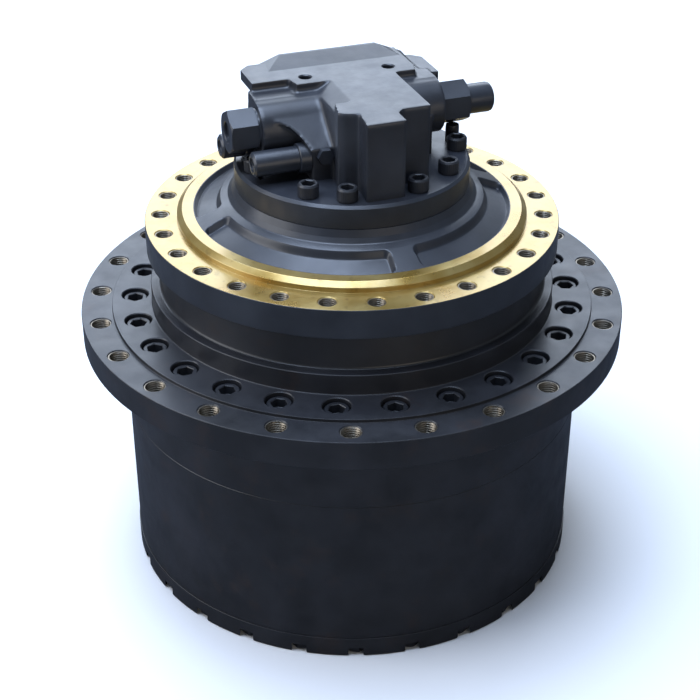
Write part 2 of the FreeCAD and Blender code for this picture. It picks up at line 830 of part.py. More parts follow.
def rear_cover():
    """Round flange carrying the cast valve block: tower, barrel, webs, deck and hood."""
    flange = rod(cover_seat_r, cover_seat_z, cover_top_z)
    masses = [tower(), back_mass(), front_web(), arch_web(), deck(), hood()]
    masses.append(rod_x(barrel_r, barrel_left, barrel_right, spool_y, spool_z))
    masses.append(box(tower_right_x - casting_overlap, right_web_x, right_web_front_y,
                      back_front_y + casting_overlap, cover_top_z - casting_overlap, spool_z))
    masses.append(rod_x(relief_boss_r, barrel_left, barrel_left + relief_boss_length,
                        relief_rear_y, relief_rear_z))
    return flange.fuse(masses).cut(cover_holes())


def tower():
    """Tall mass with a narrow nose, a hollow valley on its left and a ledge under its top."""
    outline = [
        (nose_left_x, nose_y),
        (nose_right_x, nose_y),
        (nose_right_x, shoulder_y - shoulder_corner),
        (nose_right_x + shoulder_corner, shoulder_y),
        (tower_right_x, shoulder_y),
        (tower_right_x, port_face_y),
        (tower_left_x, port_face_y),
        (tower_left_x, valley_y),
        (valley_x, valley_y - valley_depth),
        (valley_x + 6, valley_y - valley_depth - 6),
        (nose_left_x + 4, shoulder_y + 3),
    ]
    body = slab(outline, cover_top_z - casting_overlap, block_top_z)
    wedge = prism_y([(top_step_x, block_top_z), (top_step_x, block_top_z + 1),
                     (tower_left_x - 1, block_top_z + 1), (tower_left_x - 1, block_top_z - top_step_drop)],
                    valley_y, deck_middle_front_y)
    return body.cut(wedge)


def back_mass():
    """Broad mass behind the barrel that carries the port face."""
    outline = [
        (back_left_x, back_front_y),
        (back_right_x, back_front_y),
        (back_right_x, port_face_y - back_corner),
        (back_right_x - back_corner, port_face_y),
        (back_left_x + back_corner, port_face_y),
        (back_left_x, port_face_y - back_corner),
    ]
    return slab(outline, cover_top_z - casting_overlap, deck_z)


def front_web():
    """Web under the barrel that the front relief valve is screwed into."""
    outline = [
        (web_front_y, cover_top_z - casting_overlap),
        (back_front_y + casting_overlap, cover_top_z - casting_overlap),
        (back_front_y + casting_overlap, spool_z),
        (spool_y - barrel_r, spool_z),
        (web_front_y, web_front_z),
    ]
    return prism_x(outline, relief_left_x, web_right_x)


def arch_web():
    """Flare between the barrel's underside and the web, hollowed over the relief valve."""
    arch_z = relief_z + 2
    front = relief_left_y + relief_collar_r + casting_overlap
    flare = box(relief_left_x - arch_r, relief_left_x + casting_overlap, front,
                back_front_y + casting_overlap, arch_z, spool_z)
    return flare.cut(rod_y(arch_r, relief_left_y - arch_r, back_front_y + arch_r, arch_z,
                           relief_left_x - arch_r))


def deck():
    """Flat plate over the block's back half, with a step to each side's lifting boss."""
    outline = [
        (deck_left_x, deck_left_front_y),
        (deck_left_step_x, deck_left_front_y),
        (deck_left_step_x + 4, deck_middle_front_y),
        (deck_right_step_x - 2, deck_middle_front_y),
        (deck_right_step_x + 2, deck_right_front_y),
        (deck_right_x, deck_right_front_y),
        (deck_right_x, deck_back_y - deck_corner),
        (deck_right_x - deck_corner, deck_back_y),
        (deck_left_x + deck_corner, deck_back_y),
        (deck_left_x, deck_back_y - deck_corner),
    ]
    return slab(outline, deck_z - casting_overlap, block_top_z)


def hood():
    """Raised rib along the back of the block, with a sloped front and sloped ends."""
    chamfer = hood_end_run / 2
    wires = []
    for front_run, end_run, z in ((0, 0, block_top_z - casting_overlap),
                                  (hood_slope_run, hood_end_run, block_top_z + hood_height)):
        left = hood_left_x + end_run
        right = hood_right_x - end_run
        front = hood_front_y + front_run
        outline = [(left, front), (right, front), (right, port_face_y), (left + chamfer, port_face_y),
                   (left, port_face_y - chamfer)]
        points = [V(x, y, z) for x, y in outline]
        wires.append(Part.makePolygon(points + points[:1]))
    return Part.makeLoft(wires, True, True)


def cover_holes():
    cuts = [
        rod_x(spool_r + running_gap, barrel_left - 1, barrel_right + 1, spool_y, spool_z),
        rod_x(plug_thread_r, barrel_left - 1, barrel_left + plug_thread_length, spool_y, spool_z),
        rod_x(plug_thread_r, barrel_right - plug_thread_length, barrel_right + 1, spool_y, spool_z),
        rod(shaft_bearing_bore_r, cover_seat_z - 1, cover_seat_z + shaft_bearing_width),
        gauge_thread(),
    ]
    for side in (-1, 1):
        cuts += port(side * port_x)
        cuts.append(rod(lifting_thread_r, block_top_z - lifting_thread_depth, block_top_z + 1,
                        lifting_centre_x + side * lifting_span / 2, lifting_y))
    cuts += on_circle(rear_bolt_hole, cover_bolt_ring_r, rear_bolt_angles)
    return cuts


def gauge_thread():
    return rod_y(gauge_thread_r, web_front_y, web_front_y + gauge_thread_length, gauge_plug_z,
                 gauge_plug_x)


def gauge_plug():
    """Small hexagon plug of the test port on the web's front."""
    head = hexagon_z(gauge_plug_flats, 0, gauge_plug_height, 0, 0)
    head.rotate(V(0, 0, 0), ALONG_X, 90)
    head.translate(V(gauge_plug_x, web_front_y, gauge_plug_z))
    return head.fuse(gauge_thread())


def port(x):
    """One hydraulic port with its four flange screws' holes on the back face."""
    back = V(0, -1, 0)
    cuts = [Part.makeCylinder(port_r, port_depth + 1, V(x, port_face_y + 1, port_z), back)]
    for dx in (-0.5, 0.5):
        for dz in (-0.5, 0.5):
            place = V(x + dx * port_bolt_span_x, port_face_y + 1, port_z + dz * port_bolt_span_z)
            cuts.append(Part.makeCylinder(port_thread_r, port_thread_depth + 1, place, back))
    return cuts


def rear_bolt_hole(x, y):
    through = rod(rear_bolt_r + bolt_gap, cover_seat_z - 1, cover_top_z + 1, x, y)
    return through.fuse(rod(rear_bolt_head_r + counterbore_gap, cover_top_z,
                            cover_top_z + head_pocket_height, x, y))


def rear_bolt(x, y):
    head = rod(rear_bolt_head_r, cover_top_z, cover_top_z + rear_bolt_head_height, x, y)
    shank = rod(rear_bolt_r, cover_seat_z - rear_bolt_thread_length + 3, cover_top_z, x, y)
    return head.fuse(shank)


def left_plug():
    start = barrel_left - plug_hex_length
    thread = rod_x(plug_thread_r, barrel_left - 1, barrel_left + plug_thread_length, spool_y, spool_z)
    return hexagon_x(plug_flats, start, barrel_left, spool_y, spool_z).fuse(thread)


def right_cap():
    nut_end = barrel_right + cap_nut_length
    thread = rod_x(plug_thread_r, barrel_right - plug_thread_length, barrel_right + 1, spool_y, spool_z)
    nut = hexagon_x(cap_nut_flats, barrel_right, nut_end, spool_y, spool_z)
    cap = hexagon_x(cap_flats, nut_end - 1, nut_end + cap_length, spool_y, spool_z)
    return nut.fuse([thread, cap])


def spool():
    lands = rod_x(spool_r, -spool_half_length, spool_half_length, spool_y, spool_z)
    waists = []
    for x in (-spool_waist_spacing, 0.0, spool_waist_spacing):
        ends = (x - spool_waist_half_length, x + spool_waist_half_length, spool_y, spool_z)
        waists.append(rod_x(spool_r + 1, *ends).cut(rod_x(spool_waist_r, *ends)))
    return lands.cut(waists)


def relief_valve(x, y, z, length):
    """Cartridge screwed into the block's left side, its axis along X."""
    collar_x = x - relief_collar_length
    collar = rod_x(relief_collar_r, collar_x, x, y, z)
    return collar.fuse(rod_x(relief_r, collar_x - length, x, y, z))


# ---------------------------------------------------------------- build

directions_2 = angles(planet_2_count, 0.0)
directions_1 = angles(planet_1_count, 0.0)

save("motor_casing", motor_casing())
save("rear_cover", rear_cover())
save("rear_cover_bolts", on_circle(rear_bolt, cover_bolt_ring_r, rear_bolt_angles))
save("left_spool_plug", left_plug())
save("right_spool_cap", right_cap())
save("gauge_plug", gauge_plug())
save("counterbalance_spool", spool())
save("front_relief_valve", relief_valve(relief_left_x, relief_left_y, relief_z, relief_length))
save("rear_relief_valve", relief_valve(barrel_left, relief_rear_y, relief_rear_z,
                                        relief_rear_length))

save("hub", hub())
save("hub_bolts", on_circle(hub_bolt, hub_bolt_circle_r, angles(hub_bolt_count, hub_bolt_angle)))
save("ring_gear", ring_gear())
save("end_cover", end_cover())
save("end_cover_bolts", on_circle(cover_bolt, hub_bolt_circle_r,
                                  angles(cover_bolt_count, cover_bolt_angle)))
save("end_cover_plugs", on_circle(cover_plug, cover_plug_circle_r, cover_plug_directions()))

for name, z_low, wide_end_up in (("upper", bearing_lip_top_z, True),
                                 ("lower", carrier_2_top_z, False)):
    inner, rollers, outer = bearing_parts(z_low, wide_end_up)
    save(name + "_bearing_inner_ring", inner)
    save(name + "_bearing_rollers", rollers)
    save(name + "_bearing_outer_ring", outer)
for name, side in (("fixed", 1), ("turning", -1)):
    save(name + "_seal_ring", seal_ring(side))
    save(name + "_seal_cushion", seal_cushion(side))

save("second_carrier", carrier_2(directions_2))
save("second_planet_pins", on_circle(
    lambda x, y: rod(pin_2_r, carrier_2_bottom_z, carrier_2_top_z, x, y), centre_2_r, directions_2))
for i, direction in enumerate(directions_2):
    x, y = polar(centre_2_r, direction)
    gear = planet(planet_2_teeth, planet_phase(planet_2_teeth, direction), planet_2_bottom_z,
                  planet_2_top_z, pin_2_r + roller_sleeve, x, y)
    save("second_planet_%d" % (i + 1), gear)
    save("second_planet_rollers_%d" % (i + 1),
         sleeve(pin_2_r, planet_2_bottom_z, planet_2_top_z, x, y))
save("second_sun", sun_2(sun_phase(sun_2_teeth, planet_2_teeth, directions_2[0])))

save("first_carrier", carrier_1(directions_1))
save("first_planet_pins", on_circle(
    lambda x, y: rod(pin_1_r, planet_1_bottom_z - 3, carrier_1_top_z, x, y), centre_1_r, directions_1))
for i, direction in enumerate(directions_1):
    x, y = polar(centre_1_r, direction)
    gear = planet(planet_1_teeth, planet_phase(planet_1_teeth, direction), planet_1_bottom_z,
                  planet_1_top_z, pin_1_r + roller_sleeve, x, y)
    save("first_planet_%d" % (i + 1), gear)
    save("first_planet_rollers_%d" % (i + 1),
         sleeve(pin_1_r, planet_1_bottom_z, planet_1_top_z, x, y))
save("first_sun", sun_1(sun_phase(sun_1_teeth, planet_1_teeth, directions_1[0])))

save("motor_shaft", motor_shaft())
save("rear_shaft_bearing", shaft_bearing(cover_seat_z))
save("front_shaft_bearing", shaft_bearing(cavity_floor_z - shaft_bearing_width))
save("valve_plate", valve_plate())
save("cylinder_block", cylinder_block())
save("pistons", on_circle(piston, piston_circle_r, angles(piston_count, 0.0)))
save("swash_plate", swash_plate())
save("swash_cradle", swash_cradle())
save("brake_shoulder_ring", brake_shoulder())
save("brake_friction_plates", [friction_plate(brake_stack_z),
                               friction_plate(brake_stack_z + 2 * brake_pitch)])
save("brake_steel_plate", steel_plate(brake_stack_z + brake_pitch))
save("brake_piston", brake_piston())
save("brake_disc_spring", disc_spring())
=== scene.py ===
# %% [markdown]
# # Excavator final drive
# The drive hangs in the side frame of a tracked excavator and turns the track's sprocket. A
# hydraulic motor sits inside a fixed casing, two planetary stages slow it down, and the drum
# around them turns. The CAD frame brings the exact solids; this script gives each visible piece
# its cast, machined and painted surface, and puts the drive on a studio floor.
# Everything is built from sizes in millimetres and scaled to metres at one place, because
# drawings of such parts are in millimetres and the scene is in metres.

# %% Frame and units
import json
import math

import bmesh
import bpy
import numpy as np
from mathutils import Matrix, Vector


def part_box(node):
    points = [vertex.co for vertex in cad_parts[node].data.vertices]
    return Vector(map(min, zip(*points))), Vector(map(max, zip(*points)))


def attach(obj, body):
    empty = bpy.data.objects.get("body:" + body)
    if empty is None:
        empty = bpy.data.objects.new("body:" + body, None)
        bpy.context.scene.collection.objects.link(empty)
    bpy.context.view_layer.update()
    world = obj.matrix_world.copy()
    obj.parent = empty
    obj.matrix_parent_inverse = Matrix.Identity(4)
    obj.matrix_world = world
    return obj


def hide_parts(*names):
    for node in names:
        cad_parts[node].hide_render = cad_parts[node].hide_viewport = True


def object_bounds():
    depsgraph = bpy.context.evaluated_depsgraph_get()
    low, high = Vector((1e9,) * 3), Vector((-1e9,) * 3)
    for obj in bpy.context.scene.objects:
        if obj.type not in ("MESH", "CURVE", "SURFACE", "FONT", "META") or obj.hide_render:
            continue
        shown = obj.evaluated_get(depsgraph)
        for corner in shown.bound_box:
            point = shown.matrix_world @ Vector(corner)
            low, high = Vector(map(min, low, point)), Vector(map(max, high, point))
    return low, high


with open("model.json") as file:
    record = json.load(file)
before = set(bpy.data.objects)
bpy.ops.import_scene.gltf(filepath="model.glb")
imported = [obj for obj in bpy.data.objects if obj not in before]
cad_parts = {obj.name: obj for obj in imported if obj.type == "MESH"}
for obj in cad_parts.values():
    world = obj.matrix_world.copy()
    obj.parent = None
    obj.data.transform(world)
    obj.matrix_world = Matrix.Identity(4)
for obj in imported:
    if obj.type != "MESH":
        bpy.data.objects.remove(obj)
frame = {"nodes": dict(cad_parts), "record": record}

MM = 0.001
cad_low, cad_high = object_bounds()


def extent(node):
    """Lowest and highest corner of a CAD node in millimetres."""
    low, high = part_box(node)
    return np.array(low) / MM, np.array(high) / MM


casing_low, casing_high = extent("motor_casing")
hub_low, hub_high = extent("hub")
gear_low, gear_high = extent("ring_gear")
cover_low, cover_high = extent("end_cover")
block_low, block_high = extent("rear_cover")
print("drive is", [round((b - a) / MM) for a, b in zip(cad_low, cad_high)], "mm wide, deep, high")

# %% [markdown]
# Turned parts make up most of the drive, so the first helper skins rings of points round Z. A
# ring's radius and height may also depend on the angle, which gives hexagon heads, gear teeth
# and cast pockets from the same few lines. Corners in a drawn profile are rounded first: light
# catches the small radius of a real edge, and a perfectly sharp edge looks like plastic.

# %% Turned shapes
def linked(name, points, faces):
    """Mesh object from millimetre points, with its normals turned outwards."""
    mesh = bpy.data.meshes.new(name)
    mesh.from_pydata([tuple(MM * c for c in p) for p in points], [], faces)
    bm = bmesh.new()
    bm.from_mesh(mesh)
    bmesh.ops.recalc_face_normals(bm, faces=bm.faces)
    bm.to_mesh(mesh)
    bm.free()
    obj = bpy.data.objects.new(name, mesh)
    bpy.context.collection.objects.link(obj)
    return obj


def even(count, first=0.0):
    return [first + 2 * math.pi * i / count for i in range(count)]


def softened(profile, radius=1.0, steps=3, closed=True):
    """Profile with every corner rounded. A third number in a point is that corner's own radius."""
    result = []
    count = len(profile)
    for i, point in enumerate(profile):
        here = Vector(point[:2])
        size = point[2] if len(point) > 2 else radius
        ends = not closed and i in (0, count - 1)
        before = Vector(profile[i - 1][:2]) - here
        after = Vector(profile[(i + 1) % count][:2]) - here
        if ends or size <= 0 or before.length == 0 or after.length == 0:
            result.append(tuple(here))
            continue
        half = before.angle(after) / 2
        if half > math.radians(86):
            result.append(tuple(here))
            continue
        reach = min(size / math.tan(half), 0.45 * before.length, 0.45 * after.length)
        a = here + before.normalized() * reach
        b = here + after.normalized() * reach
        for k in range(steps + 1):
            t = k / steps
            result.append(tuple(a * (1 - t) ** 2 + here * 2 * t * (1 - t) + b * t ** 2))
    return result


def spin(name, rows, turns):
    """Skins rings round Z. A row is (radius, height) or a function of the angle that gives one.
    Rows with radius 0 at both ends are poles; otherwise the last row joins the first."""
    poles = not callable(rows[0]) and rows[0][0] == 0 and rows[-1][0] == 0
    body = rows[1:-1] if poles else rows
    count = len(turns)
    points = []
    for row in body:
        for a in turns:
            r, z = row(a) if callable(row) else row
            points.append((r * math.cos(a), r * math.sin(a), z))
    faces = []
    for i in range(len(body) - (1 if poles else 0)):
        low, high = i * count, ((i + 1) % len(body)) * count
        for j in range(count):
            k = (j + 1) % count
            faces.append((low + j, low + k, high + k, high + j))
    if poles:
        points += [(0, 0, rows[0][1]), (0, 0, rows[-1][1])]
        last = (len(body) - 1) * count
        for j in range(count):
            k = (j + 1) % count
            faces.append((len(points) - 2, k, j))
            faces.append((len(points) - 1, last + j, last + k))
    return linked(name, points, faces)


def prism(name, outline, low, high, axis="z"):
    """Straight prism on an outline. Across X the outline is (y, z), and across Y it is (x, z)."""
    def place(a, b, c):
        return {"z": (a, b, c), "x": (c, a, b), "y": (a, c, b)}[axis]
    count = len(outline)
    points = [place(a, b, c) for c in (low, high) for a, b in outline]
    faces = [tuple(range(count)), tuple(range(2 * count - 1, count - 1, -1))]
    faces += [(i, (i + 1) % count, count + (i + 1) % count, count + i) for i in range(count)]
    return linked(name, points, faces)


print("shape helpers ready")

# %% [markdown]
# Holes, pockets and flats are cut the way a machine shop cuts them: a tool body is made, placed
# at each position and taken away from the casting. The manifold solver is fast and exact as
# long as both meshes are closed, which the helpers above make sure of.

# %% Cutting, joining and shading
def baked(obj):
    """Replaces the object's mesh with the result of its modifiers."""
    graph = bpy.context.evaluated_depsgraph_get()
    mesh = bpy.data.meshes.new_from_object(obj.evaluated_get(graph))
    old = obj.data
    obj.modifiers.clear()
    obj.data = mesh
    bpy.data.meshes.remove(old)
    return obj


def discard(obj):
    mesh = obj.data
    bpy.data.objects.remove(obj)
    bpy.data.meshes.remove(mesh)


def carve(obj, tool, operation="DIFFERENCE"):
    modifier = obj.modifiers.new("carve", "BOOLEAN")
    modifier.operation = operation
    modifier.solver = "MANIFOLD"
    modifier.object = tool
    bpy.context.view_layer.update()
    baked(obj)
    discard(tool)
    return obj


def merged(name, objects):
    """One mesh object that holds all of them; the parts are used up."""
    bm = bmesh.new()
    for obj in objects:
        copy = obj.data.copy()
        copy.transform(obj.matrix_world)
        bm.from_mesh(copy)
        bpy.data.meshes.remove(copy)
    mesh = bpy.data.meshes.new(name)
    bm.to_mesh(mesh)
    bm.free()
    for obj in objects:
        discard(obj)
    result = bpy.data.objects.new(name, mesh)
    bpy.context.collection.objects.link(result)
    return result


def moved(obj, place=(0, 0, 0), turn=None):
    """Moves the mesh itself, so that the object stays at the origin."""
    matrix = Matrix.Translation(Vector(place) * MM)
    if turn:
        matrix = matrix @ Matrix.Rotation(math.radians(turn[0]), 4, turn[1])
    obj.data.transform(matrix)
    return obj


def copies(name, tool, places):
    """The tool at each place, as one mesh."""
    parts = []
    for place in places:
        part = bpy.data.objects.new(name, tool.data.copy())
        bpy.context.collection.objects.link(part)
        parts.append(moved(part, place))
    discard(tool)
    return merged(name, parts)


def round_circle(radius, count, first_degrees, height):
    first = math.radians(first_degrees)
    return [(radius * math.cos(a), radius * math.sin(a), height) for a in even(count, first)]


def drill(name, radius, depth, chamfer=1.0, tip=0.5, segments=32, above=2.0):
    """Tool for a hole from height 0 down, with a chamfered mouth and a drill's cone below."""
    rows = [(0, above), (radius + chamfer + above, above), (radius + chamfer, 0), (radius, -chamfer),
            (radius, -depth), (0, -depth - tip * radius)]
    return spin(name, rows, even(segments))


def shaded(obj, angle=32.0):
    """Smooth faces with sharp edges above the angle, and normals that follow the large faces."""
    obj.data.shade_smooth()
    obj.data.set_sharp_from_angle(angle=math.radians(angle))
    modifier = obj.modifiers.new("flat faces stay flat", "WEIGHTED_NORMAL")
    modifier.keep_sharp = True
    return baked(obj)


def finished(obj, body, materials, stands_for=(), angle=32.0):
    """Shades a piece, gives it its materials and ties it to its CAD body."""
    obj = shaded(obj, angle)
    obj.data.materials.clear()
    for material in materials:
        obj.data.materials.append(material)
    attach(obj, body)
    if stands_for:
        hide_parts(*stands_for)
    print(obj.name, len(obj.data.polygons), "faces")
    return obj


def finish_where(obj, index, test):
    """Gives a material slot to the faces whose centre (radius, height) and normal pass the test."""
    for face in obj.data.polygons:
        x, y, z = (c / MM for c in face.center)
        if test(math.hypot(x, y), z, face.normal):
            face.material_index = index


print("cutting helpers ready")

# %% [markdown]
# Materials are small node trees. Patterns are sized in millimetres and read from the object's
# own coordinates, so nothing swims when the drum turns and the grain has the right size.

# %% Shader helpers
def linear(colour):
    """Linear RGBA from an sRGB hex string."""
    values = [int(colour[i:i + 2], 16) / 255 for i in (0, 2, 4)]
    return [v / 12.92 if v <= 0.04045 else ((v + 0.055) / 1.055) ** 2.4 for v in values] + [1.0]


def add(tree, kind, settings=None, inputs=None):
    """Adds a node, sets its settings, and fills its inputs with constants or other sockets."""
    node = tree.nodes.new(kind)
    for key, value in (settings or {}).items():
        setattr(node, key, value)
    for key, value in (inputs or {}).items():
        if isinstance(value, bpy.types.NodeSocket):
            tree.links.new(value, node.inputs[key])
        else:
            node.inputs[key].default_value = value
    return node


def new_material(name):
    material = bpy.data.materials.new(name)
    material.use_nodes = True
    tree = material.node_tree
    tree.nodes.clear()
    surface = add(tree, "ShaderNodeBsdfPrincipled")
    add(tree, "ShaderNodeOutputMaterial", inputs={"Surface": surface.outputs["BSDF"]})
    return material, tree, surface


def place_mm(tree):
    """Object coordinates in millimetres."""
    place = add(tree, "ShaderNodeTexCoord")
    return add(tree, "ShaderNodeMapping", inputs={"Vector": place.outputs["Object"],
                                                  "Scale": (1 / MM,) * 3}).outputs["Vector"]


def noise(tree, place, size_mm, detail=3.0, roughness=0.55):
    """Noise from 0 to 1 whose blotches are about size_mm across."""
    return add(tree, "ShaderNodeTexNoise", inputs={
        "Vector": place, "Scale": 1 / size_mm, "Detail": detail,
        "Roughness": roughness}).outputs["Fac"]


def between(tree, value, low, high, low_to=0.0, high_to=1.0):
    return add(tree, "ShaderNodeMapRange", inputs={
        "Value": value, "From Min": low, "From Max": high, "To Min": low_to,
        "To Max": high_to}).outputs["Result"]


def blend(tree, factor, first, second):
    """Colour between two; each is a hex string or a socket."""
    node = add(tree, "ShaderNodeMix", {"data_type": "RGBA"}, {0: factor})
    for index, colour in ((6, first), (7, second)):
        if isinstance(colour, str):
            node.inputs[index].default_value = linear(colour)
        else:
            tree.links.new(colour, node.inputs[index])
    return node.outputs[2]


def bump(tree, height, depth_mm, strength=1.0, under=None):
    inputs = {"Height": height, "Distance": depth_mm * MM, "Strength": strength}
    if under:
        inputs["Normal"] = under
    return add(tree, "ShaderNodeBump", inputs=inputs).outputs["Normal"]


def radius_mm(tree, place):
    """Distance from the drive's axis in millimetres."""
    flat = add(tree, "ShaderNodeVectorMath", {"operation": "MULTIPLY"},
               {0: place, 1: (1.0, 1.0, 0.0)}).outputs["Vector"]
    return add(tree, "ShaderNodeVectorMath", {"operation": "LENGTH"}, {0: flat}).outputs["Value"]


print("shader helpers ready")

# %% [markdown]
# The castings are sprayed with one semi-gloss charcoal coat straight over the sand-cast skin.
# The skin shows as shallow bumps a few millimetres wide under a smoother paint film.

# %% Paints
def paint(name, base, dusty, gloss, skin_mm, skin_depth, worn=None):
    material, tree, surface = new_material(name)
    place = place_mm(tree)
    cloud = between(tree, noise(tree, place, 70, 4), 0.35, 0.7)
    colour = blend(tree, cloud, base, dusty)
    if worn:
        patch = between(tree, noise(tree, place, 45, 6, 0.65), 0.56, 0.72, 0.0, 0.75)
        colour = blend(tree, patch, colour, worn)
    film = noise(tree, place, 1.6, 2)
    skin = noise(tree, place, skin_mm, 3)
    normal = bump(tree, skin, skin_depth)
    normal = bump(tree, film, 0.02, 0.6, normal)
    rough = between(tree, noise(tree, place, 25, 4), 0.3, 0.75, gloss, gloss + 0.16)
    tree.links.new(colour, surface.inputs["Base Color"])
    tree.links.new(rough, surface.inputs["Roughness"])
    tree.links.new(normal, surface.inputs["Normal"])
    surface.inputs["Coat Weight"].default_value = 0.25
    surface.inputs["Coat Roughness"].default_value = 0.22
    return material


# Charcoal paint over cast iron: soft highlights broken by the sand skin.
casting_paint = paint("charcoal paint on cast iron", "1d1f24", "2b2e35", 0.34, 6.0, 0.10)
# The same paint over turned faces: smoother, so edges and flats read as machined.
machined_paint = paint("charcoal paint on machined iron", "1f2228", "2c3037", 0.30, 9.0, 0.03)
# Black paint on the drum, thin enough for brown stains from handling and storage.
drum_paint = paint("black paint on machined iron", "1a1b1e", "25262b", 0.36, 8.0, 0.05, "2c2320")
# Sprayed-over black-oxide screws: a little duller than the castings.
screw_paint = paint("painted black-oxide steel", "17181b", "22242a", 0.38, 4.0, 0.02)
print("paints made")

# %% [markdown]
# The frame flange's face is left bare so that it seats metal to metal, and is covered with a
# clear yellowish rust preventive. Concentric tool marks from the lathe lie under it, and the
# coat is thicker in some places, which makes it patchy.

# %% Bare and coated steels
def varnished(name, light, amber, brown):
    material, tree, surface = new_material(name)
    place = place_mm(tree)
    wet = between(tree, noise(tree, place, 60, 4), 0.4, 0.68)
    drips = between(tree, noise(tree, place, 12, 5), 0.58, 0.75, 0.0, 0.6)
    colour = blend(tree, drips, blend(tree, wet, light, amber), brown)
    radius = radius_mm(tree, place)
    feed = add(tree, "ShaderNodeMath", {"operation": "SINE"}, {0: add(
        tree, "ShaderNodeMath", {"operation": "MULTIPLY"}, {0: radius, 1: 7.0}).outputs[0]}).outputs[0]
    normal = bump(tree, feed, 0.012, 0.5)
    tree.links.new(colour, surface.inputs["Base Color"])
    tree.links.new(between(tree, wet, 0.0, 1.0, 0.36, 0.26), surface.inputs["Roughness"])
    tree.links.new(normal, surface.inputs["Normal"])
    surface.inputs["Metallic"].default_value = 0.72
    surface.inputs["Coat Weight"].default_value = 0.6
    surface.inputs["Coat Roughness"].default_value = 0.16
    return material


def bare(name, colour, stain, roughness, metallic=1.0, stain_amount=0.5):
    material, tree, surface = new_material(name)
    place = place_mm(tree)
    patch = between(tree, noise(tree, place, 9, 5), 0.45, 0.75, 0.0, stain_amount)
    tree.links.new(blend(tree, patch, colour, stain), surface.inputs["Base Color"])
    tree.links.new(between(tree, noise(tree, place, 3, 3), 0.3, 0.7, roughness, roughness + 0.12),
                   surface.inputs["Roughness"])
    tree.links.new(bump(tree, noise(tree, place, 0.8, 2), 0.01, 0.5), surface.inputs["Normal"])
    surface.inputs["Metallic"].default_value = metallic
    return material


# Turned steel under a yellow rust preventive: the pale gold ring inside the bolt circle.
gold_face = varnished("turned steel with rust preventive", "b79f62", "a5843c", "6f5832")
# Freshly tapped threads, oily and slightly browned.
tapped_steel = bare("tapped steel thread", "8d8578", "4a4036", 0.32)
# Ground, hardened and oiled steel of shafts, rings and rollers.
ground_steel = bare("ground hardened steel", "a9abae", "8a8a88", 0.2, 1.0, 0.3)
# Ductile iron of the planet carriers.
carrier_iron = bare("machined ductile iron", "77787b", "56524e", 0.38, 0.9)
# Lapped iron of the floating seal.
seal_iron = bare("lapped alloy iron", "9a9a9c", "7a7876", 0.15)
# Bronze of the valve plate and the cradle.
bearing_bronze = bare("bearing bronze", "b98d4f", "8a6535", 0.3)
# Rubber of the seal's cushions: dark and without a mirror highlight.
seal_rubber = bare("nitrile rubber", "141414", "1d1c1b", 0.6, 0.0)
# Sintered lining of the brake's friction plates.
brake_lining = bare("sintered friction lining", "5d4632", "3d3026", 0.6, 0.2)
print("steels made")

# %% [markdown]
# The fixed casing: a flange that bolts to the track frame, a low register that centres it, and
# a cast face with four arc pockets between ribs. Cast pockets have soft edges and a draft, so
# the face is one skin whose height depends on radius and angle. A boolean would leave hard
# walls that then need bevelling.

# %% Casing
frame_bolts = 27
frame_bolt_circle = 231.2
dish_in, dish_out = 158.0, 191.0
dish_top, dish_foot = 25.0, 11.5
pocket_depth, pocket_span, pocket_wall, pocket_corner = 8.0, 81.0, 5.0, 9.0
spigot = 211.0
seat_r = 140.5


def pocket(radius, angle):
    """How far the cast pockets sink at this place of the face."""
    middle = (dish_in + dish_out) / 2
    quarter = (math.degrees(angle) % 90.0) - 45.0
    across = abs(radius - middle) - (dish_out - dish_in) / 2 + pocket_corner
    along = abs(radius * math.radians(quarter)) - radius * math.radians(pocket_span / 2) + pocket_corner
    inside = -(math.hypot(max(across, 0), max(along, 0)) + min(max(across, along), 0) - pocket_corner)
    t = min(max(inside / pocket_wall, 0.0), 1.0)
    return pocket_depth * t * t * (3 - 2 * t)


def face_row(radius):
    height = dish_top + (dish_foot - dish_top) * (radius - dish_in) / (dish_out - dish_in)
    return lambda a: (radius, height - pocket(radius, a))


def casing_turns():
    """Even steps, and finer ones where the ribs' edges run."""
    turns = set(round(math.degrees(a), 3) for a in even(240))
    for rib in (0, 90, 180, 270):
        for side in (-1, 1):
            edge = rib + side * (90 - pocket_span) / 2
            turns |= set(round((edge + side * k * 0.3) % 360, 3) for k in range(-2, 16))
    return [math.radians(t) for t in sorted(turns)]


top_z, end_z = casing_high[2], casing_low[2]
rim = casing_high[0]
upper = softened([(seat_r, top_z, 1.0), (144.5, 34.0, 3.0), (149.0, 28.0, 4.0),
                  (dish_in, dish_top, 1.5), (dish_in + 1, dish_top - 0.4, 0)], closed=False)[:-1]
lower = softened([(dish_out - 1, dish_foot + 0.4, 0), (dish_out, dish_foot, 1.0), (204.5, dish_foot, 1.5),
                  (spigot, 6.0, 1.2), (spigot, 0.0, 0.6), (rim, 0.0, 1.6), (rim, -36.0, 1.6),
                  (221.5, -36.0, 1.0), (221.5, -60.0, 1.0), (214.0, -60.0, 0.5), (211.0, -46.0, 1.0),
                  (184.0, -46.0, 1.0), (184.0, -110.0, 0.5), (160.0, -110.0, 1.5), (160.0, end_z, 2.0),
                  (70.0, end_z, 1.0), (45.0, -194.0, 1.0), (45.0, -150.0, 1.0), (98.0, -150.0, 2.0),
                  (98.0, top_z, 0.5), (seat_r, top_z, 0)], closed=False)[1:-1]
steps_in = [dish_in + 0.8 * k for k in range(0, 10)]
steps_out = [dish_out - 0.8 * k for k in range(9, -1, -1)]
steps_mid = [dish_in + 10 + 3 * k for k in range(0, 5)]
face_rows = [face_row(r) for r in steps_in + steps_mid + steps_out]
casing = spin("casing", upper + face_rows + lower, casing_turns())
frame_places = round_circle(frame_bolt_circle, frame_bolts, 270.0, 0.0)
carve(casing, copies("frame holes", drill("hole", 10.2, 31.0, 1.2), frame_places))
